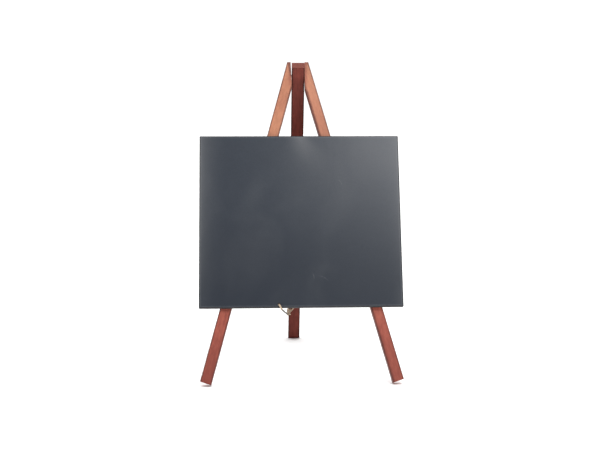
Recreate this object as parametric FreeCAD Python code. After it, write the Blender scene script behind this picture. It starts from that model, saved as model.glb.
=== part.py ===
# Tabletop display easel: two splayed front legs, a hinged rear leg, a chalkboard
# panel fixed to the front of the front legs, and a cord that limits the spread.
# Units mm, +Z up, feet on z = 0, panel facing -Y.
# Origin: centre of the object's footprint box, on the ground.
import FreeCAD, Part
import os
from math import sin, cos, tan, radians, degrees, acos, pi

V = FreeCAD.Vector
os.makedirs("parts", exist_ok=True)

# ---------------------------------------------------------------- driving sizes
panel_w = 151.0        # panel width
panel_h = 131.0        # panel height, along its lean
panel_t = 4.0          # panel thickness
panel_low = 57.0       # panel's lower edge above the ground line, along the lean
panel_corner_r = 0.6   # rounding of the panel's four corners
panel_edge_r = 0.35    # softened panel arrises

lean = 18.0            # front legs and panel lean back from the vertical
rear_lean = 20.7       # rear leg leans forward from the vertical, standing open
splay = 15.16          # each front leg's angle from the centre line, in the frame plane
foot_cut = 19.0        # end cut of the front feet, in the frame plane

leg_w = 8.5            # front leg face width
leg_t = 6.0            # front leg thickness
leg_top = 248.8        # top of the front legs, along the lean
foot_half = 75.65      # outer edge of a front leg from the centre line, at ground line
mitre_top = {-1: 5.56, 1: 5.30}   # inner faces at the top, from the centre line: left, right
mitre_low = {-1: 4.84, 1: 5.24}   # the same at their lower ends; the left slot narrows downwards
arris_r = 0.45         # softened long arrises of the legs

rear_w = 9.8           # rear leg width
rear_t = 6.0           # rear leg thickness
rear_x = 0.2           # rear leg sits this far off the centre line, between the front legs
rear_top = 10.0        # rear leg above the pivot, at its back face
rear_bevel = 2.1       # its upper end slopes down this much to the front face
foot_flat = 0.35       # the leg ends are sanded flat by this much where they stand

pivot_v = 238.4        # pivot height along the lean
pivot_w = -3.4         # pivot behind the front face of the front legs
pin_r = 1.2            # pivot pin radius
pin_clear = 0.07       # radial clearance of the pin in the rear leg
pin_recess = 0.25      # pin ends sit this far inside the outer leg faces

brad_r = 0.6           # brad shank radius
brad_head_r = 1.25
brad_head_t = 0.5
brad_depth = 2.4       # brad length inside the panel
brad_v = (82.0, 168.0) # brad heights along the lean

cord_r = 0.65          # cord radius
cord_hole_r = 1.0      # hole in the panel
cord_u = -16.6         # hole position across the panel
cord_up = 2.4          # hole above the panel's lower edge
knot_r = 1.6

a = radians(lean)
b = radians(rear_lean)
ts = tan(radians(splay))
slant_w = leg_w / cos(radians(splay))     # leg width measured level


def P(u, v, w):
    """Frame plane point: u across, v up the lean, w out of the front face."""
    return V(u, v * sin(a) - w * cos(a), v * cos(a) + w * sin(a))


NRM = V(0, -cos(a), sin(a))               # outward normal of the front faces

# pivot and rear leg in the side view
piv = P(0, pivot_v, pivot_w)
R_UP = V(0, -sin(b), cos(b))              # up along the rear leg
R_BK = V(0, cos(b), sin(b))               # from the rear leg's front face to its back
front_at_piv = piv - R_BK * (rear_t / 2)
run_down = (front_at_piv.z + foot_flat) / cos(b)
rear_foot = front_at_piv - R_UP * run_down   # lower front edge before the foot is sanded


def Q(x, s, q):
    """Rear leg point: x across, s up the leg from its lower front edge, q back from its front face."""
    p = rear_foot + R_UP * s + R_BK * q
    return V(x, p.y, p.z)


def face(points):
    return Part.Face(Part.makePolygon(points + [points[0]]))


def soften(solid, radius, keep):
    """Round the straight edges whose direction passes the test."""
    edges = []
    for e in solid.Edges:
        if isinstance(e.Curve, Part.Line):
            d = (e.Vertexes[-1].Point - e.Vertexes[0].Point)
            if keep(d, e):
                edges.append(e)
    return solid.makeFillet(radius, edges)


ground = Part.makeBox(600, 600, 50, V(-300, -300, -50))

# ---------------------------------------------------------------- front legs
vi = (leg_t * sin(a) - foot_flat) / cos(a)          # inner foot corner, front face


def u_out(v):
    return foot_half - v * ts


def u_in(v):
    return foot_half - slant_w - v * ts


# outer foot corner: where the end cut meets the outer edge
tc = tan(radians(foot_cut))
dv = (slant_w) * tc / (1 + ts * tc)
vo = vi + dv


def front_leg(side):
    v_mitre = (foot_half - slant_w - mitre_low[side]) / ts
    pts = [(u_in(vi), vi), (u_out(vo), vo), (u_out(leg_top), leg_top),
           (mitre_top[side], leg_top), (mitre_low[side], v_mitre)]
    f = face([P(side * u, v, 0) for u, v in pts])
    s = f.extrude(NRM * (-leg_t))
    if s.Volume < 0:
        s.reverse()
    long_dir = P(side * -ts, 1, 0) - P(0, 0, 0)
    long_dir.normalize()

    def keep(d, e):
        return d.Length > 60 and abs(d.normalize().dot(long_dir)) > 0.999
    s = soften(s, arris_r, keep)
    s = s.cut(ground)
    # pivot bore
    s = s.cut(Part.makeCylinder(pin_r, 60, piv - V(30, 0, 0), V(1, 0, 0)))
    # brad holes with their head seats
    for v in brad_v:
        uc = side * (u_out(v) + u_in(v)) / 2
        s = s.cut(Part.makeCylinder(brad_r, leg_t + 1, P(uc, v, -leg_t - 0.5), NRM))
        s = s.cut(Part.makeCylinder(brad_head_r, brad_head_t + 0.5, P(uc, v, -leg_t - 0.5), NRM))
    return s


left_leg = front_leg(-1)
right_leg = front_leg(1)

# ---------------------------------------------------------------- rear leg
rear_len = run_down + rear_top
x0, x1 = rear_x - rear_w / 2, rear_x + rear_w / 2
rf = face([Q(x0, 0, 0), Q(x0, rear_len - rear_bevel, 0), Q(x0, rear_len, rear_t), Q(x0, 0, rear_t)])
rear_leg = rf.extrude(V(rear_w, 0, 0))
if rear_leg.Volume < 0:
    rear_leg.reverse()
rear_leg = soften(rear_leg, arris_r, lambda d, e: d.Length > 60)
rear_leg = rear_leg.cut(ground)
rear_leg = rear_leg.cut(Part.makeCylinder(pin_r + pin_clear, 60, piv - V(30, 0, 0), V(1, 0, 0)))

# ---------------------------------------------------------------- pivot pin
pin = Part.makeCylinder(pin_r, 60, piv - V(30, 0, 0), V(1, 0, 0))
env = face([P(-u_out(leg_top) + pin_recess, leg_top, 10), P(u_out(leg_top) - pin_recess, leg_top, 10),
            P(u_out(100) - pin_recess, 100, 10), P(-u_out(100) + pin_recess, 100, 10)]).extrude(NRM * -30)
pin = pin.common(env)

# ---------------------------------------------------------------- panel
h = panel_w / 2
v0, v1 = panel_low, panel_low + panel_h
panel = face([P(-h, v0, 0), P(h, v0, 0), P(h, v1, 0), P(-h, v1, 0)]).extrude(NRM * panel_t)
panel = soften(panel, panel_corner_r, lambda d, e: abs(d.normalize().dot(NRM)) > 0.999)
rim = []
for e in panel.Edges:
    c = e.CenterOfMass
    w = c.dot(NRM)
    if abs(w - panel_t) < 1e-6 or abs(w) < 1e-6:
        rim.append(e)
panel = panel.makeFillet(panel_edge_r, rim)
cord_v = panel_low + cord_up
panel = panel.cut(Part.makeCylinder(cord_hole_r, 10, P(cord_u, cord_v, -3), NRM))

# ---------------------------------------------------------------- brads
brads = []
for side in (-1, 1):
    for v in brad_v:
        uc = side * (u_out(v) + u_in(v)) / 2
        shank = Part.makeCylinder(brad_r, leg_t + brad_depth, P(uc, v, -leg_t), NRM)
        head = Part.makeCylinder(brad_head_r, brad_head_t, P(uc, v, -leg_t), NRM)
        brads.append(shank.fuse(head).removeSplitter())
        panel = panel.cut(Part.makeCylinder(brad_r, brad_depth + 1, P(uc, v, -1), NRM))
brads = Part.makeCompound(brads)

# ---------------------------------------------------------------- cord
# From a knot behind the panel, through its hole, over its lower edge, straight to
# the rear leg, once round the leg on a slant, and into a knot at the front corner.
off = cord_r + 0.2
xl, xr = x0 - off, x1 + off
s_lo = 25.3            # where the cord meets the leg's left front corner, up the leg
slant = 1.3            # rise of the wrap per mm across the leg
qf, qb = -off, rear_t + off
c1 = 1.05              # each right-angle turn is spread over two points this far from it


def wrap(x, q):
    return Q(x, s_lo + slant * (x - xl), q)


def toward(p, q_, d):
    t = q_ - p
    t.normalize()
    return p + t * d


C_bl, C_br, C_fr = wrap(xl, qb), wrap(xr, qb), wrap(xr, qf)
C_end = wrap(xl + 1.6, qf)
C_fl = wrap(xl, -0.6)
A_top = P(cord_u, cord_v, panel_t + 1.35)
A_low = P(cord_u + 2.0, panel_low - 1.6, panel_t + 1.2)
route = [P(cord_u, cord_v, -2.6),
         toward(A_top, P(cord_u, cord_v, 0), 0.95), toward(A_top, A_low, 0.95),
         toward(A_low, A_top, 0.95), toward(A_low, C_fl, 0.95),
         C_fl,
         toward(C_bl, C_fl, c1), toward(C_bl, C_br, c1),
         toward(C_br, C_bl, c1), toward(C_br, C_fr, c1),
         toward(C_fr, C_br, c1), toward(C_fr, C_end, c1),
         C_end]


def tube_path(pts, name):
    """Straight runs joined by tangent arcs, each as large as its two runs allow."""
    edges = []
    start = pts[0]
    radii = []
    for i in range(1, len(pts) - 1):
        d0 = pts[i] - pts[i - 1]
        d1 = pts[i + 1] - pts[i]
        l0, l1 = d0.Length, d1.Length
        d0.normalize()
        d1.normalize()
        turn = acos(max(-1, min(1, d0.dot(d1))))
        short = min(l0, l1)
        r = 0.45 * short / tan(turn / 2)
        cut = 0.45 * short
        pa, pb = pts[i] - d0 * cut, pts[i] + d1 * cut
        bis = (d1 - d0)
        bis.normalize()
        centre = pts[i] + bis * (r / cos(turn / 2))
        mid = centre - bis * r
        edges.append(Part.LineSegment(start, pa).toShape())
        edges.append(Part.Arc(pa, mid, pb).toShape())
        radii.append((round(r, 2), round(degrees(turn), 1)))
        start = pb
    edges.append(Part.LineSegment(start, pts[-1]).toShape())
    print(name, "radius and turn:", radii)
    return Part.Wire(edges)


path = tube_path(route, "cord")
d = route[1] - route[0]
prof = Part.Wire(Part.makeCircle(cord_r, route[0], d))
cord = path.makePipeShell([prof], True, True)
print("cord tube volume", round(cord.Volume, 2), "section x length", round(pi * cord_r ** 2 * path.Length, 2),
      "length", round(path.Length, 2))


def ball(c, r, toward_a, toward_b):
    """Knot ball whose poles and seam face away from the two cord runs that enter it."""
    da, db = toward_a - c, toward_b - c
    da.normalize()
    db.normalize()
    z = da.cross(db)
    z.normalize()
    x = (da + db) * -1
    x = x - z * x.dot(z)
    x.normalize()
    y = z.cross(x)
    s = Part.makeSphere(r)
    s.Placement = FreeCAD.Placement(FreeCAD.Matrix(x.x, y.x, z.x, c.x, x.y, y.y, z.y, c.y,
                                                   x.z, y.z, z.z, c.z, 0, 0, 0, 1))
    return s


knot_back_at = P(cord_u, cord_v, -2.6)
knot_leg_at = Q(xl + 0.8, s_lo + 1.3, -knot_r - 0.25)     # over the start and the end of the wrap
knot_back = Part.makeSphere(knot_r, knot_back_at)
knot_leg = ball(knot_leg_at, knot_r, C_fl, C_end)
cord = cord.fuse([knot_back, knot_leg])

# ---------------------------------------------------------------- place and export
nodes = {
    "left_front_leg": left_leg,
    "right_front_leg": right_leg,
    "rear_leg": rear_leg,
    "chalkboard_panel": panel,
    "pivot_pin": pin,
    "panel_brads": brads,
    "spread_cord": cord,
}
everything = Part.makeCompound(list(nodes.values()))
bb = everything.optimalBoundingBox(False)
shift = V(0, -(bb.YMin + bb.YMax) / 2, 0)
print("box", [round(x, 3) for x in (bb.XMin, bb.XMax, bb.YMin, bb.YMax, bb.ZMin, bb.ZMax)], "shift", shift)
out = {}
for name, shape in nodes.items():
    shape = shape.copy()
    shape.translate(shift)
    out[name] = shape
    shape.exportStep("parts/%s.step" % name)
    print(name, "valid", shape.isValid(), "solids", len(shape.Solids), "volume", round(shape.Volume, 2))

print("pivot", piv + shift)
print("rear foot", rear_foot + shift, "rear length", rear_len)
for f in out["rear_leg"].Faces:
    n = f.normalAt(0, 0)
    if abs(n.z + 1) < 1e-6:
        print("rear foot flat", f.CenterOfMass, "area", round(f.Area, 3))
for nm in ("left_front_leg", "right_front_leg"):
    for f in out[nm].Faces:
        n = f.normalAt(0, 0)
        if abs(n.z + 1) < 1e-6:
            print(nm, "foot flat", f.CenterOfMass, "area", round(f.Area, 3))
print("route (m)")
for p in route:
    q_ = p + shift
    print("    (%.5f, %.5f, %.5f)," % (q_.x / 1000, q_.y / 1000, q_.z / 1000))
print("knots (m)", (knot_back_at + shift) * 0.001, (knot_leg_at + shift) * 0.001)
names = list(out)
for i in range(len(names)):
    for j in range(i + 1, len(names)):
        A, B = out[names[i]], out[names[j]]
        dist = A.distToShape(B)[0]
        if dist < 1.0:
            vol = A.common(B).Volume
            print("near", names[i], names[j], "gap %.3f overlap %.4f" % (dist, vol))
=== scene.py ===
import math
import random

import bmesh
import bpy
from mathutils import Matrix, Vector


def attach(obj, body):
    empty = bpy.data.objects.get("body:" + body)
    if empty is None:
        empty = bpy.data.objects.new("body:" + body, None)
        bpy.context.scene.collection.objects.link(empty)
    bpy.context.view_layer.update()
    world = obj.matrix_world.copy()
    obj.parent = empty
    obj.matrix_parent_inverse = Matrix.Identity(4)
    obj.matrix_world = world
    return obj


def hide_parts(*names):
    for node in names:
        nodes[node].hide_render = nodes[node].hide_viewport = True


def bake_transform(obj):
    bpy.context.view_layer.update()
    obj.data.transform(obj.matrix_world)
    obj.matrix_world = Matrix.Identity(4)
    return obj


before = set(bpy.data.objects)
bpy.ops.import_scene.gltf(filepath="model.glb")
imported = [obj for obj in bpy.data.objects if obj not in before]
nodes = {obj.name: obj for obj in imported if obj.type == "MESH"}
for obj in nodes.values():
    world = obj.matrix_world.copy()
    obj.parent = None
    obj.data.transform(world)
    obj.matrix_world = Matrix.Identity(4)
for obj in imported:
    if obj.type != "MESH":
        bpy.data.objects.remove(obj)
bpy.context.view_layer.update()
scene = bpy.context.scene

# ------------------------------------------------------------------ camera
cam_data = bpy.data.cameras.new("camera")
cam_data.lens = 62.30
cam_data.sensor_width = 36.0
cam_data.clip_start = 0.02
cam_data.clip_end = 60.0
cam = bpy.data.objects.new("camera", cam_data)
cam.location = (-0.03688, -0.82002, 0.20136)
cam.rotation_euler = (math.radians(90 - 6.4375), 0.0, math.radians(-2.7151))
scene.collection.objects.link(cam)
scene.camera = cam

# ------------------------------------------------------------------ cord
# The route repeats the CAD tube's points. The two points marked * hold the long
# straight stretch straight up to the panel's edge and up to the rear leg.
ROUTE = [
    (-0.01660, -0.06180, 0.05569),
    (-0.01660, -0.06845, 0.05785),
    (-0.01618, -0.06959, 0.05733),
    (-0.01502, -0.07022, 0.05511),
    (-0.01454, -0.06953, 0.05409),
    (-0.01400, -0.06126, 0.05221),   # *
    (-0.00609, 0.05871, 0.02498),   # *
    (-0.00555, 0.06698, 0.02310),
    (-0.00555, 0.07296, 0.02537),
    (-0.00491, 0.07365, 0.02652),
    (0.00531, 0.06896, 0.03894),
    (0.00595, 0.06768, 0.03935),
    (0.00595, 0.06244, 0.03737),
    (0.00531, 0.06175, 0.03622),
    (-0.00395, 0.06601, 0.02496),
]
BACK_KNOT = Vector((-0.01660, -0.06180, 0.05569))
LEG_KNOT = Vector((-0.00475, 0.06535, 0.02388))
RUN = (Vector(ROUTE[6]) - Vector(ROUTE[5])).normalized()


def spline_line(points, resolution=24):
    """The smooth line of a NURBS curve through the route, as points."""
    cu = bpy.data.curves.new("route", "CURVE")
    cu.dimensions = "3D"
    cu.resolution_u = resolution
    sp = cu.splines.new("NURBS")
    sp.points.add(len(points) - 1)
    for p, co in zip(sp.points, points):
        p.co = (*co, 1.0)
    sp.order_u = 3
    sp.use_endpoint_u = True
    ob = bpy.data.objects.new("route", cu)
    me = bpy.data.meshes.new_from_object(ob)
    line = [v.co.copy() for v in me.vertices]
    bpy.data.meshes.remove(me)
    bpy.data.objects.remove(ob)
    bpy.data.curves.remove(cu)
    return line


def resample(line, step):
    total = sum((b - a).length for a, b in zip(line, line[1:]))
    n = max(2, int(round(total / step)))
    out, seg, acc = [line[0].copy()], 0, 0.0
    lengths = [(b - a).length for a, b in zip(line, line[1:])]
    for i in range(1, n):
        target = total * i / n
        while seg < len(lengths) - 1 and acc + lengths[seg] < target:
            acc += lengths[seg]
            seg += 1
        t = (target - acc) / max(lengths[seg], 1e-12)
        out.append(line[seg].lerp(line[seg + 1], min(1, t)))
    out.append(line[-1].copy())
    return out


def frames_along(line):
    """Tangent and two side vectors at every point, carried along without twist."""
    tangents = []
    for i in range(len(line)):
        a = line[max(i - 1, 0)]
        b = line[min(i + 1, len(line) - 1)]
        tangents.append((b - a).normalized())
    side = tangents[0].orthogonal().normalized()
    out = []
    for t in tangents:
        side = (side - t * side.dot(t)).normalized()
        out.append((t, side, t.cross(side)))
    return out


def add_tube(bm, uv, centres, radius, sides=10, cap=True, v0=0.0):
    """One tube along the centres; radius is a number or a function of 0..1."""
    fr = frames_along(centres)
    rings, dist, along = [], [], v0
    for i, c in enumerate(centres):
        if i:
            along += (c - centres[i - 1]).length
        dist.append(along)
        r = radius(i / (len(centres) - 1)) if callable(radius) else radius
        _, s, u = fr[i]
        rings.append([bm.verts.new(c + (s * math.cos(k * math.tau / sides) + u * math.sin(k * math.tau / sides)) * r)
                      for k in range(sides)])
    for i in range(len(rings) - 1):
        for k in range(sides):
            f = bm.faces.new((rings[i][k], rings[i][(k + 1) % sides], rings[i + 1][(k + 1) % sides], rings[i + 1][k]))
            f.smooth = True
            for loop, (uu, vv) in zip(f.loops, ((k, i), (k + 1, i), (k + 1, i + 1), (k, i + 1))):
                loop[uv].uv = (uu / sides, dist[vv] * 1000.0)
    if cap:
        for ring in (list(reversed(rings[0])), rings[-1]):
            f = bm.faces.new(ring)
            for loop in f.loops:
                loop[uv].uv = (0.5, 0.0)


def mesh_object(name, bm):
    bmesh.ops.recalc_face_normals(bm, faces=bm.faces)
    me = bpy.data.meshes.new(name)
    bm.to_mesh(me)
    bm.free()
    ob = bpy.data.objects.new(name, me)
    scene.collection.objects.link(ob)
    return ob


def strands(line, count, radius, offset, pitch, phase=0.0):
    """Centre lines of plies twisted round a line."""
    fr = frames_along(line)
    out = [[] for _ in range(count)]
    along = 0.0
    for i, c in enumerate(line):
        if i:
            along += (c - line[i - 1]).length
        _, s, u = fr[i]
        for k in range(count):
            a = phase + math.tau * (along / pitch + k / count)
            out[k].append(c + (s * math.cos(a) + u * math.sin(a)) * offset)
    return out


PLY_R, PLY_OFF, PITCH = 0.00032, 0.00034, 0.0042
route_line = resample(spline_line(ROUTE), 0.0003)
bm = bmesh.new()
uv = bm.loops.layers.uv.new("ply")
for ply in strands(route_line, 3, PLY_R, PLY_OFF, PITCH):
    add_tube(bm, uv, ply, PLY_R, sides=10)
cord = mesh_object("spread_cord_twisted", bm)


def knot_line(centre, axis, side, size, turns=96):
    """A closed overhand knot's line (a trefoil), flattened along its axis."""
    a = axis.normalized()
    s = (side - a * side.dot(a)).normalized()
    t = a.cross(s)
    pts = []
    for i in range(turns + 1):
        w = math.tau * i / turns
        x = math.sin(w) + 2 * math.sin(2 * w)
        y = math.cos(w) - 2 * math.cos(2 * w)
        z = -math.sin(3 * w)
        pts.append(centre + (s * x + t * y) * (size / 3.0) + a * z * size * 0.42)
    return pts


def make_knot(name, centre, axis, side, size, seed, tuft_dirs, tuft_len, tuft_from=None):
    rnd = random.Random(seed)
    bm = bmesh.new()
    uv = bm.loops.layers.uv.new("ply")
    base = knot_line(centre, axis, side, size)
    for ply in strands(base, 3, 0, PLY_OFF * 0.72, PITCH * 0.8):
        add_tube(bm, uv, ply, PLY_R * 0.78, sides=9, cap=False)
    root = tuft_from if tuft_from is not None else centre
    for d in tuft_dirs:
        d = Vector(d)
        for _ in range(9):
            start = root + Vector([rnd.uniform(-1, 1) for _ in range(3)]) * 0.00025
            bend = Vector([rnd.uniform(-1, 1) for _ in range(3)]) * 0.0011
            tip = start + d.normalized() * tuft_len * rnd.uniform(0.7, 1.05) + bend
            mid = start.lerp(tip, 0.5) + Vector([rnd.uniform(-1, 1) for _ in range(3)]) * 0.0003
            pts = []
            for i in range(9):
                t = i / 8
                pts.append(start * (1 - t) ** 2 + mid * 2 * t * (1 - t) + tip * t * t)
            add_tube(bm, uv, pts, lambda q: 0.00013 * (1 - 0.55 * q), sides=6)
    return mesh_object(name, bm)


PANEL_LOW, PANEL_TOP = 0.0570, 0.1880     # along the lean
LEAN = math.radians(18.0)
REAR = math.radians(20.7)
N_FRONT = Vector((0, -math.cos(LEAN), math.sin(LEAN)))
UP_FRONT = Vector((0, math.sin(LEAN), math.cos(LEAN)))
UP_REAR = Vector((0, -math.sin(REAR), math.cos(REAR)))
BACK_REAR = Vector((0, math.cos(REAR), math.sin(REAR)))
X = Vector((1, 0, 0))

back_knot = make_knot("cord_knot_panel", BACK_KNOT - N_FRONT * 0.0001, N_FRONT, X, 0.00155, 3,
                      [(-0.75, 0.45, 0.75), (0.15, 0.40, 1.0)], 0.0050, BACK_KNOT - N_FRONT * 0.0008)
leg_knot = make_knot("cord_knot_leg", LEG_KNOT + BACK_REAR * 0.0002, BACK_REAR, X, 0.00155, 5,
                     [UP_REAR * 1.0 + X * 0.10, UP_REAR * 1.0 - X * 0.12, UP_REAR * 1.0 + X * 0.32], 0.0056,
                     LEG_KNOT + UP_REAR * 0.0004 - BACK_REAR * 0.0002)

# ------------------------------------------------------------------ materials


class Mat:
    """A small helper for building node materials."""

    def __init__(self, name):
        self.m = bpy.data.materials.new(name)
        self.m.use_nodes = True
        self.t = self.m.node_tree
        self.t.nodes.clear()
        self.out = self.n("ShaderNodeOutputMaterial")
        self.bsdf = self.n("ShaderNodeBsdfPrincipled")
        self.link(self.bsdf.outputs[0], self.out.inputs[0])

    def n(self, kind, **props):
        node = self.t.nodes.new(kind)
        for k, v in props.items():
            setattr(node, k, v)
        return node

    def link(self, a, b):
        self.t.links.new(a, b)

    def put(self, socket, value):
        if hasattr(value, "is_output") or isinstance(value, bpy.types.NodeSocket):
            self.link(value, socket)
        else:
            socket.default_value = value

    def math(self, op, a, b=0.0, c=None, clamp=False):
        node = self.n("ShaderNodeMath", operation=op, use_clamp=clamp)
        self.put(node.inputs[0], a)
        self.put(node.inputs[1], b)
        if c is not None:
            self.put(node.inputs[2], c)
        return node.outputs[0]

    def dot(self, vec, axis):
        node = self.n("ShaderNodeVectorMath", operation="DOT_PRODUCT")
        self.link(vec, node.inputs[0])
        node.inputs[1].default_value = tuple(axis)
        return node.outputs["Value"]

    def combine(self, x, y, z):
        node = self.n("ShaderNodeCombineXYZ")
        for s, v in zip(node.inputs, (x, y, z)):
            self.put(s, v)
        return node.outputs[0]

    def noise(self, vec, scale=1.0, detail=4.0, rough=0.55, distort=0.0, kind="Fac"):
        node = self.n("ShaderNodeTexNoise")
        self.link(vec, node.inputs["Vector"])
        node.inputs["Scale"].default_value = scale
        node.inputs["Detail"].default_value = detail
        node.inputs["Roughness"].default_value = rough
        node.inputs["Distortion"].default_value = distort
        return node.outputs[0] if kind == "Fac" else node.outputs["Color"]

    def ramp(self, fac, stops, smooth=True):
        node = self.n("ShaderNodeValToRGB")
        cr = node.color_ramp
        cr.interpolation = "EASE" if smooth else "LINEAR"
        while len(cr.elements) < len(stops):
            cr.elements.new(0.5)
        for e, (p, c) in zip(cr.elements, stops):
            e.position = p
            e.color = (*c, 1.0) if len(c) == 3 else c
        self.link(fac, node.inputs[0])
        return node.outputs[0]

    def map(self, value, a, b, c=0.0, d=1.0, smooth=True):
        node = self.n("ShaderNodeMapRange")
        node.interpolation_type = "SMOOTHSTEP" if smooth else "LINEAR"
        self.put(node.inputs["Value"], value)
        node.inputs["From Min"].default_value = a
        node.inputs["From Max"].default_value = b
        node.inputs["To Min"].default_value = c
        node.inputs["To Max"].default_value = d
        return node.outputs[0]

    def mix(self, fac, a, b, mode="MIX"):
        node = self.n("ShaderNodeMix", data_type="RGBA", blend_type=mode)
        self.put(node.inputs[0], fac)
        for s, v in ((node.inputs[6], a), (node.inputs[7], b)):
            if isinstance(v, tuple) and len(v) == 3:
                v = (*v, 1.0)
            self.put(s, v)
        return node.outputs[2]

    def bump(self, height, strength, distance, normal=None):
        node = self.n("ShaderNodeBump")
        self.link(height, node.inputs["Height"])
        node.inputs["Strength"].default_value = strength
        node.inputs["Distance"].default_value = distance
        if normal is not None:
            self.link(normal, node.inputs["Normal"])
        return node.outputs[0]


def local_coords(m, origin, across, depth, along):
    tc = m.n("ShaderNodeTexCoord")
    sub = m.n("ShaderNodeVectorMath", operation="SUBTRACT")
    m.link(tc.outputs["Object"], sub.inputs[0])
    sub.inputs[1].default_value = tuple(origin)
    v = sub.outputs[0]
    return m.dot(v, across), m.dot(v, depth), m.dot(v, along), tc


def wood(name, origin, across, depth, along, half_w, half_t, light, dark, seed, length, painted_top_light=None,
         rough=0.46, spec=0.28, end_light=None, painted_side_shade=0.5, inner=0.0, wedge=False):
    """Stained, varnished stick wood: short fine grain, pores and end grain, with painted shade on the sides, arrises,
    pivot and mitre, and painted light and shade along the front legs.
    """
    m = Mat(name)
    a, d, l, tc = local_coords(m, origin, across, depth, along)
    shift = seed * 1.7
    fine = m.noise(m.combine(m.math("MULTIPLY", a, 1300), m.math("MULTIPLY", d, 1300),
                             m.math("MULTIPLY_ADD", l, 110.0, shift)), detail=5, rough=0.6)
    mottle = m.noise(m.combine(m.math("MULTIPLY", a, 520), m.math("MULTIPLY", d, 520),
                               m.math("MULTIPLY_ADD", l, 190.0, shift + 3)), detail=3, rough=0.55, distort=0.3)
    broad = m.noise(m.combine(m.math("MULTIPLY", a, 230), m.math("MULTIPLY", d, 230),
                              m.math("MULTIPLY_ADD", l, 8.0, shift + 6)), detail=3, rough=0.5, distort=0.4)
    cloud = m.noise(m.combine(m.math("MULTIPLY", a, 50), m.math("MULTIPLY", d, 50),
                              m.math("MULTIPLY_ADD", l, 26.0, shift + 9)), detail=2)
    pores = m.noise(m.combine(m.math("MULTIPLY", a, 4200), m.math("MULTIPLY", d, 4200),
                              m.math("MULTIPLY_ADD", l, 300.0, shift + 5)), detail=2, rough=0.5)
    pore = m.map(pores, 0.62, 0.74)
    g = m.math("ADD", m.math("MULTIPLY", fine, 0.40), m.math("MULTIPLY", mottle, 0.35))
    g = m.math("ADD", g, m.math("MULTIPLY", broad, 0.25))
    col = m.mix(m.map(g, 0.36, 0.64), light, dark)
    # painted light and shade: the front legs are painted paler toward the top, where the overhead light falls, and
    # darker within 60 mm of the foot
    if painted_top_light is not None:
        up = m.map(l, 0.075, 0.175)
        pale = m.mix(m.map(g, 0.36, 0.64), painted_top_light, tuple(0.80 * c for c in painted_top_light))
        col = m.mix(up, col, pale)
        low = m.map(l, 0.060, 0.0)
        col = m.mix(m.math("MULTIPLY", low, 0.60), col, tuple(0.70 * c for c in dark))
    col = m.mix(m.map(cloud, 0.35, 0.68, 0.0, 0.28), col, tuple(0.80 * c for c in dark))
    col = m.mix(m.math("MULTIPLY", pore, 0.35), col, tuple(0.35 * c for c in dark))
    # painted shade: the stick's sides are painted darker than its planed front and back, standing in for the shade on
    # them
    nd = m.math("ABSOLUTE", m.dot(tc.outputs["Normal"], depth))
    side = m.math("MULTIPLY", m.map(nd, 0.75, 0.25), painted_side_shade)
    col = m.mix(side, col, tuple(0.42 * c for c in dark))
    # painted shade along the long arrises, where the rounded edges turn away from the light; the colour is also
    # darker round the ends
    arris = m.math("MULTIPLY", m.map(m.math("ABSOLUTE", a), half_w - 0.0013, half_w - 0.0005),
                   m.map(m.math("ABSOLUTE", d), half_t - 0.0014, half_t - 0.0004))
    wob = m.map(mottle, 0.3, 0.7, 0.7, 1.0)
    col = m.mix(m.math("MULTIPLY", m.math("MULTIPLY", arris, wob), 0.80), col, tuple(0.30 * c for c in dark))
    # painted shade: on the right leg a dark strip along the front face's inner edge stands in for its shaded inner
    # side face
    if inner:
        strip = m.map(m.math("MULTIPLY", a, inner), half_w - 0.0021, half_w - 0.0010)
        col = m.mix(m.math("MULTIPLY", m.math("MULTIPLY", strip, wob), 0.70), col, tuple(0.34 * c for c in dark))
    tips = m.math("MAXIMUM", m.map(l, 0.0022, 0.0006), m.map(l, length - 0.0034, length - 0.0010))
    col = m.mix(m.math("MULTIPLY", m.math("MULTIPLY", tips, wob), 0.68), col, tuple(0.42 * c for c in dark))
    if painted_top_light is not None:
        # painted shade: darker wood beside the pivot, standing in for the shadow at the apex
        sep = m.n("ShaderNodeSeparateXYZ")
        m.link(tc.outputs["Object"], sep.inputs[0])
        near = m.math("MULTIPLY", m.map(m.math("ABSOLUTE", sep.outputs[0]), 0.0082, 0.0060),
                      m.map(sep.outputs[2], 0.2140, 0.2240))
        col = m.mix(m.math("MULTIPLY", near, 0.55), col, tuple(0.9 * c for c in dark))
        if wedge:
            # painted shade beside the mitre cut: a thin dark wedge from the tip down, standing in for the mitre face
            # in shade
            line = m.math("MULTIPLY_ADD", sep.outputs[2], -0.160, 0.2256 * 0.160 - 0.0062)
            run = m.map(m.math("SUBTRACT", sep.outputs[0], line), -0.0003, 0.0004)
            col = m.mix(m.math("MULTIPLY", m.math("MULTIPLY", run, m.map(sep.outputs[2], 0.2250, 0.2262)), 0.85),
                        col, (0.150, 0.048, 0.030))
    # end grain
    nrm = m.math("ABSOLUTE", m.dot(tc.outputs["Normal"], along))
    end = m.map(nrm, 0.80, 0.93)
    speck = m.noise(m.combine(m.math("MULTIPLY", a, 3600), m.math("MULTIPLY", d, 3600), l), detail=2)
    lit = end_light if end_light is not None else tuple(0.95 * c for c in light)
    end_col = m.mix(m.map(speck, 0.30, 0.65), lit, tuple(0.62 * c for c in lit))
    col = m.mix(m.math("MULTIPLY", end, 0.9), col, end_col)
    m.link(col, m.bsdf.inputs["Base Color"])
    r = m.math("ADD", rough - 0.06, m.math("MULTIPLY", fine, 0.14))
    r = m.math("ADD", r, m.math("MULTIPLY", end, 0.25), clamp=True)
    m.link(r, m.bsdf.inputs["Roughness"])
    m.bsdf.inputs["Specular IOR Level"].default_value = spec
    h = m.math("SUBTRACT", g, m.math("MULTIPLY", pore, 0.6))
    m.link(m.bump(h, 0.35, 0.00010), m.bsdf.inputs["Normal"])
    return m.m


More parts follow.
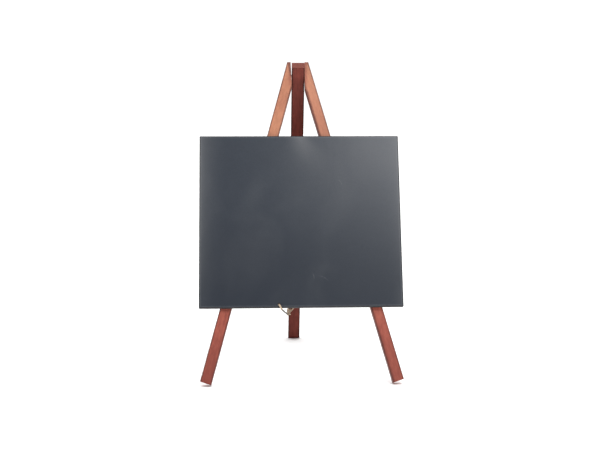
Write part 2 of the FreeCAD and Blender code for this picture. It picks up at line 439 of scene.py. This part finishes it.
def leg_axes(side):
    """Along, across and outward axes of a front leg, and a point on its centre line."""
    s = math.radians(15.16)
    along = (UP_FRONT * math.cos(s) - X * side * math.sin(s)).normalized()
    across = (X * math.cos(s) + UP_FRONT * side * math.sin(s)).normalized()
    slant = 0.0085 / math.cos(s)
    foot = X * side * (0.07565 - slant / 2) + N_FRONT * -0.003 + Vector((0, -0.082625, 0))
    return foot, across, N_FRONT, along


RED_LIGHT = (0.340, 0.087, 0.057)
RED_DARK = (0.207, 0.043, 0.030)
# painted light: the paler colour the front legs' tops are painted with
PAINTED_TOP_LIGHT = (0.462, 0.189, 0.103)
FRONT_LEN = 0.2573

f, ac, de, al = leg_axes(-1)
mat_left = wood("front_leg_wood_left", f, ac, de, al, 0.00425, 0.003, RED_LIGHT, RED_DARK, 1, FRONT_LEN, PAINTED_TOP_LIGHT, wedge=True)
f, ac, de, al = leg_axes(1)
mat_right = wood("front_leg_wood_right", f, ac, de, al, 0.00425, 0.003, (0.365, 0.094, 0.060), (0.230, 0.049, 0.033),
                 4, FRONT_LEN, (0.442, 0.181, 0.103), inner=-1.0)
# painted shade: the rear leg gets a darker copy of the same stained wood, standing in for the shade it is in, facing
# down behind the board
rear_o = Vector((0.0002, 0.076481, -0.00035)) + BACK_REAR * 0.003
mat_rear = wood("rear_leg_wood", rear_o, X, BACK_REAR, UP_REAR, 0.0049, 0.003,
                (0.172, 0.037, 0.026), (0.100, 0.022, 0.016), 7, 0.2505, None, rough=0.5, spec=0.12,
                end_light=(0.208, 0.062, 0.047), painted_side_shade=0.6)


def slate():
    """Slate-grey chalkboard paint on fibreboard: fine tooth, a paler haze, painted sheen and shade, a dark rim
    painted as shade.
    """
    m = Mat("slate_paint")
    o = Vector((0, -0.082625, 0))
    u, w, v, tc = local_coords(m, o, X, N_FRONT, UP_FRONT)
    fine = m.noise(m.combine(m.math("MULTIPLY", u, 1900), m.math("MULTIPLY", w, 1900), m.math("MULTIPLY", v, 1900)),
                   detail=4, rough=0.65)
    cloud = m.noise(m.combine(m.math("MULTIPLY", u, 22), m.math("MULTIPLY", w, 22), m.math("MULTIPLY", v, 16)),
                    detail=3, rough=0.5, distort=0.5)
    smear = m.noise(m.combine(m.math("MULTIPLY_ADD", v, 22.0, m.math("MULTIPLY", u, 90)), 0.0,
                              m.math("MULTIPLY", v, 26)), detail=3, rough=0.5)
    col = m.mix(m.map(fine, 0.3, 0.7), (0.0110, 0.0162, 0.0262), (0.0175, 0.0238, 0.0350))
    # painted shade: the paint is darker toward the bottom, standing in for the board's sheen falling off there
    lower = m.map(v, 0.155, 0.075)
    col = m.mix(m.math("MULTIPLY", lower, 0.45), col, (0.0060, 0.0095, 0.0170))
    dust = m.map(cloud, 0.42, 0.75)
    # a paler haze that fans down from the middle of the top edge
    down = m.math("SUBTRACT", PANEL_TOP, v)
    spread = m.math("MULTIPLY_ADD", down, 0.42, 0.0042)
    du = m.math("DIVIDE", m.math("SUBTRACT", m.math("SUBTRACT", u, m.math("MULTIPLY", down, 0.42)), 0.0), spread)
    fan = m.math("POWER", 2.718, m.math("MULTIPLY", m.math("MULTIPLY", du, du), -0.7))
    fade = m.math("POWER", 2.718, m.math("MULTIPLY", down, -60.0))
    haze = m.math("MULTIPLY", m.math("MULTIPLY", fan, fade), m.map(smear, 0.25, 0.75, 0.75, 1.0))
    # painted sheen: paler strips down both sides, fading toward the bottom, stand in for the reflection of the lamps
    left = m.math("POWER", 2.718, m.math("MULTIPLY", m.math("ADD", u, 0.0755), -170.0))
    right = m.math("POWER", 2.718, m.math("MULTIPLY", m.math("SUBTRACT", u, 0.0755), 230.0))
    upper = m.map(v, 0.060, 0.150, 0.30, 1.0)
    dust_haze_and_sheen = m.math("ADD", m.math("MULTIPLY", dust, 0.035), m.math("MULTIPLY", haze, 0.185))
    dust_haze_and_sheen = m.math("ADD", dust_haze_and_sheen, m.math("MULTIPLY", m.math("MULTIPLY", left, upper), 0.20))
    dust_haze_and_sheen = m.math("ADD", dust_haze_and_sheen, m.math("MULTIPLY", m.math("MULTIPLY", right, upper), 0.10), clamp=True)
    col = m.mix(dust_haze_and_sheen, col, (0.27, 0.265, 0.262))
    # faint eraser arcs low on the board
    arcs = None
    for cu, cv, rad, half, tilt in ((0.0035, 0.0790, 0.0060, 0.0035, 0.2), (0.0120, 0.0700, 0.0105, 0.0050, 1.1),
                                    (0.0250, 0.1480, 0.0070, 0.0030, 0.6)):
        x = m.math("SUBTRACT", u, cu)
        y = m.math("SUBTRACT", v, cv)
        dist = m.math("SQRT", m.math("ADD", m.math("MULTIPLY", x, x), m.math("MULTIPLY", y, y)))
        line = m.map(m.math("ABSOLUTE", m.math("SUBTRACT", dist, rad)), 0.0005, 0.0001)
        gx = m.math("SUBTRACT", u, cu + rad * math.cos(tilt))
        gy = m.math("SUBTRACT", v, cv + rad * math.sin(tilt))
        near = m.map(m.math("SQRT", m.math("ADD", m.math("MULTIPLY", gx, gx), m.math("MULTIPLY", gy, gy))), half, half * 0.3)
        one = m.math("MULTIPLY", line, near)
        arcs = one if arcs is None else m.math("MAXIMUM", arcs, one)
    col = m.mix(m.math("MULTIPLY", m.math("MULTIPLY", arcs, m.map(fine, 0.35, 0.6)), 0.10), col, (0.30, 0.31, 0.32))
    # painted shade: the board's sides are near-black and a thin dark outline runs round the front, standing in for
    # the shaded edge faces; a paler line just inside the front arris is a painted highlight
    front = m.map(m.dot(tc.outputs["Normal"], N_FRONT), 0.55, 0.90)
    eu = m.map(m.math("ABSOLUTE", u), 0.0735, 0.0742)
    ev = m.math("MAXIMUM", m.map(v, PANEL_LOW + 0.0021, PANEL_LOW + 0.0013), m.map(v, PANEL_TOP - 0.0018, PANEL_TOP - 0.0012))
    painted_arris_highlight = m.math("MULTIPLY", m.math("MAXIMUM", eu, ev), m.map(fine, 0.35, 0.6, 0.4, 1.0))
    col = m.mix(m.math("MULTIPLY", painted_arris_highlight, 0.14), col, (0.16, 0.17, 0.185))
    ou = m.map(m.math("ABSOLUTE", u), 0.0746, 0.0750)
    ov = m.math("MAXIMUM", m.map(v, PANEL_LOW + 0.0010, PANEL_LOW + 0.0006), m.map(v, PANEL_TOP - 0.0008, PANEL_TOP - 0.0004))
    outline = m.math("MULTIPLY", m.math("MAXIMUM", ou, ov), m.map(smear, 0.2, 0.6, 0.75, 1.0))
    front = m.math("MULTIPLY", front, m.math("SUBTRACT", 1.0, m.math("MULTIPLY", outline, 0.95)))
    back = m.map(m.dot(tc.outputs["Normal"], N_FRONT), -0.55, -0.90)
    rear = m.mix(m.map(cloud, 0.35, 0.7), (0.0095, 0.0100, 0.0110), (0.0190, 0.0198, 0.0210))
    rear = m.mix(m.math("MULTIPLY", m.map(smear, 0.45, 0.75), 0.25), rear, (0.040, 0.041, 0.043))
    edge_col = m.mix(back, (0.0050, 0.0055, 0.0065), rear)
    col = m.mix(front, edge_col, col)
    m.link(col, m.bsdf.inputs["Base Color"])
    r = m.math("ADD", m.math("MULTIPLY_ADD", lower, -0.010, 0.282), m.math("MULTIPLY", fine, 0.08))
    r = m.math("ADD", r, m.math("MULTIPLY", dust_haze_and_sheen, 0.5))
    r = m.math("ADD", r, m.map(front, 1.0, 0.0, 0.0, 0.35), clamp=True)
    m.link(r, m.bsdf.inputs["Roughness"])
    m.bsdf.inputs["Specular IOR Level"].default_value = 0.50
    m.link(m.bump(fine, 0.25, 0.00006), m.bsdf.inputs["Normal"])
    return m.m


def steel(name, tint=(0.50, 0.49, 0.47)):
    m = Mat(name)
    tc = m.n("ShaderNodeTexCoord")
    n1 = m.noise(tc.outputs["Object"], 900, 4, 0.6)
    n2 = m.noise(tc.outputs["Object"], 4000, 3, 0.5)
    col = m.mix(m.map(n1, 0.3, 0.7), tuple(0.55 * c for c in tint), tint)
    m.link(col, m.bsdf.inputs["Base Color"])
    m.bsdf.inputs["Metallic"].default_value = 1.0
    m.link(m.math("ADD", 0.28, m.math("MULTIPLY", n1, 0.25)), m.bsdf.inputs["Roughness"])
    m.link(m.bump(n2, 0.2, 0.00003), m.bsdf.inputs["Normal"])
    return m.m


def yarn(name, light, dark, shaded_run_light, shaded_run_dark):
    """Twisted thread: helical fibres on each ply, with painted shade in the grooves and on the free run."""
    m = Mat(name)
    uvn = m.n("ShaderNodeUVMap", uv_map="ply")
    sep = m.n("ShaderNodeSeparateXYZ")
    m.link(uvn.outputs[0], sep.inputs[0])
    # u runs once round the ply, v is millimetres along it
    phase = m.math("ADD", m.math("MULTIPLY", sep.outputs[0], 7.0), m.math("MULTIPLY", sep.outputs[1], 5.0))
    wave = m.math("MULTIPLY_ADD", m.math("SINE", m.math("MULTIPLY", phase, math.tau)), 0.5, 0.5)
    fuzz = m.noise(m.combine(m.math("MULTIPLY", sep.outputs[0], 9.0), m.math("MULTIPLY", sep.outputs[1], 1.3), 0.0),
                   1.0, 4, 0.6)
    fibre = m.math("ADD", m.math("MULTIPLY", wave, 0.55), m.math("MULTIPLY", fuzz, 0.45))
    f = m.map(fibre, 0.2, 0.75)
    # painted shade: the dark stripes between the helical fibres stand in for the shade in the grooves
    ends = m.mix(f, dark, light)
    run = m.mix(f, shaded_run_dark, shaded_run_light)
    # painted shade: the free run of cord between the board and the rear leg is darker, standing in for the shadow
    # under the board
    painted_shade_run = m.math("MULTIPLY", m.map(sep.outputs[1], 11.5, 15.5), m.map(sep.outputs[1], 157.0, 149.0))
    m.link(m.mix(painted_shade_run, ends, run), m.bsdf.inputs["Base Color"])
    m.bsdf.inputs["Roughness"].default_value = 0.6
    m.bsdf.inputs["Specular IOR Level"].default_value = 0.3
    m.bsdf.inputs["Sheen Weight"].default_value = 0.15
    m.bsdf.inputs["Sheen Roughness"].default_value = 0.4
    m.link(m.bump(fibre, 0.6, 0.00008), m.bsdf.inputs["Normal"])
    return m.m


mat_slate = slate()
mat_pin = steel("pin_steel")
mat_brad = steel("brad_steel", (0.46, 0.45, 0.44))
mat_yarn = yarn("cord_yarn", (0.66, 0.525, 0.385), (0.26, 0.185, 0.118), (0.080, 0.066, 0.040), (0.024, 0.020, 0.012))


def give(ob, mat):
    ob.data.materials.clear()
    ob.data.materials.append(mat)
    for p in ob.data.polygons:
        p.material_index = 0


def assign_cad(name, mat):
    ob = nodes[name]
    if not ob.material_slots:
        ob.data.materials.append(mat)
    for s in ob.material_slots:
        s.material = mat


assign_cad("left_front_leg", mat_left)
assign_cad("right_front_leg", mat_right)
assign_cad("rear_leg", mat_rear)
assign_cad("chalkboard_panel", mat_slate)
assign_cad("pivot_pin", mat_pin)
assign_cad("panel_brads", mat_brad)
for ob in (cord, back_knot, leg_knot):
    give(ob, mat_yarn)

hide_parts("spread_cord")
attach(back_knot, "frame")
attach(leg_knot, "rear_leg")
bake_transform(cord)

# ------------------------------------------------------------------ floor and light
bm = bmesh.new()
R, N = 12.0, 96
centre = bm.verts.new((0, 0, -0.0002))
ring = [bm.verts.new((R * math.cos(math.tau * i / N), R * math.sin(math.tau * i / N), -0.0002)) for i in range(N)]
for i in range(N):
    bm.faces.new((centre, ring[i], ring[(i + 1) % N]))
floor = mesh_object("floor", bm)
fm = Mat("floor_pale")
tc = fm.n("ShaderNodeTexCoord")
fn = fm.noise(tc.outputs["Object"], 3.0, 3, 0.5)
fm.link(fm.mix(fm.map(fn, 0.3, 0.7), (0.94, 0.94, 0.94), (0.96, 0.96, 0.96)), fm.bsdf.inputs["Base Color"])
fm.bsdf.inputs["Roughness"].default_value = 0.9
fm.bsdf.inputs["Specular IOR Level"].default_value = 0.0
give(floor, fm.m)

# A white cyclorama behind, a dimmer room in front.
world = bpy.data.worlds.new("world")
world.use_nodes = True
wt = world.node_tree
bg = wt.nodes["Background"]
bg.inputs[0].default_value = (1.0, 1.0, 1.0, 1.0)
wc = wt.nodes.new("ShaderNodeTexCoord")
ws = wt.nodes.new("ShaderNodeSeparateXYZ")
wt.links.new(wc.outputs["Generated"], ws.inputs[0])
wm = wt.nodes.new("ShaderNodeMapRange")
wm.interpolation_type = "SMOOTHSTEP"
wm.inputs["From Min"].default_value = -0.45
wm.inputs["From Max"].default_value = 0.35
wm.inputs["To Min"].default_value = 0.30
wm.inputs["To Max"].default_value = 1.12
wt.links.new(ws.outputs[1], wm.inputs["Value"])
wh = wt.nodes.new("ShaderNodeMapRange")
wh.interpolation_type = "SMOOTHSTEP"
wh.inputs["From Min"].default_value = 0.30
wh.inputs["From Max"].default_value = 0.14
wh.inputs["To Min"].default_value = 0.0
wh.inputs["To Max"].default_value = 1.12
wt.links.new(ws.outputs[2], wh.inputs["Value"])
wx = wt.nodes.new("ShaderNodeMath")
wx.operation = "MAXIMUM"
wt.links.new(wm.outputs[0], wx.inputs[0])
wt.links.new(wh.outputs[0], wx.inputs[1])
wt.links.new(wx.outputs[0], bg.inputs[1])
scene.world = world
scene.view_settings.view_transform = "Standard"


def area(name, loc, target, size, power, color=(1, 1, 1)):
    d = bpy.data.lights.new(name, "AREA")
    d.shape = "RECTANGLE"
    d.size, d.size_y = size
    d.energy = power
    d.color = color
    o = bpy.data.objects.new(name, d)
    o.location = loc
    o.rotation_euler = (Vector(target) - Vector(loc)).to_track_quat("-Z", "Y").to_euler()
    scene.collection.objects.link(o)
    return o


area("key", (0.47, -1.00, 1.11), (0, -0.03, 0.14), (0.40, 0.40), 12.5)
top_d = bpy.data.lights.new("overhead", "SUN")
top_d.energy = 2.1
top_d.angle = math.radians(80)
top = bpy.data.objects.new("overhead", top_d)
top.rotation_euler = (math.radians(-12), 0, 0)
top.location = (0, 0, 2)
scene.collection.objects.link(top)
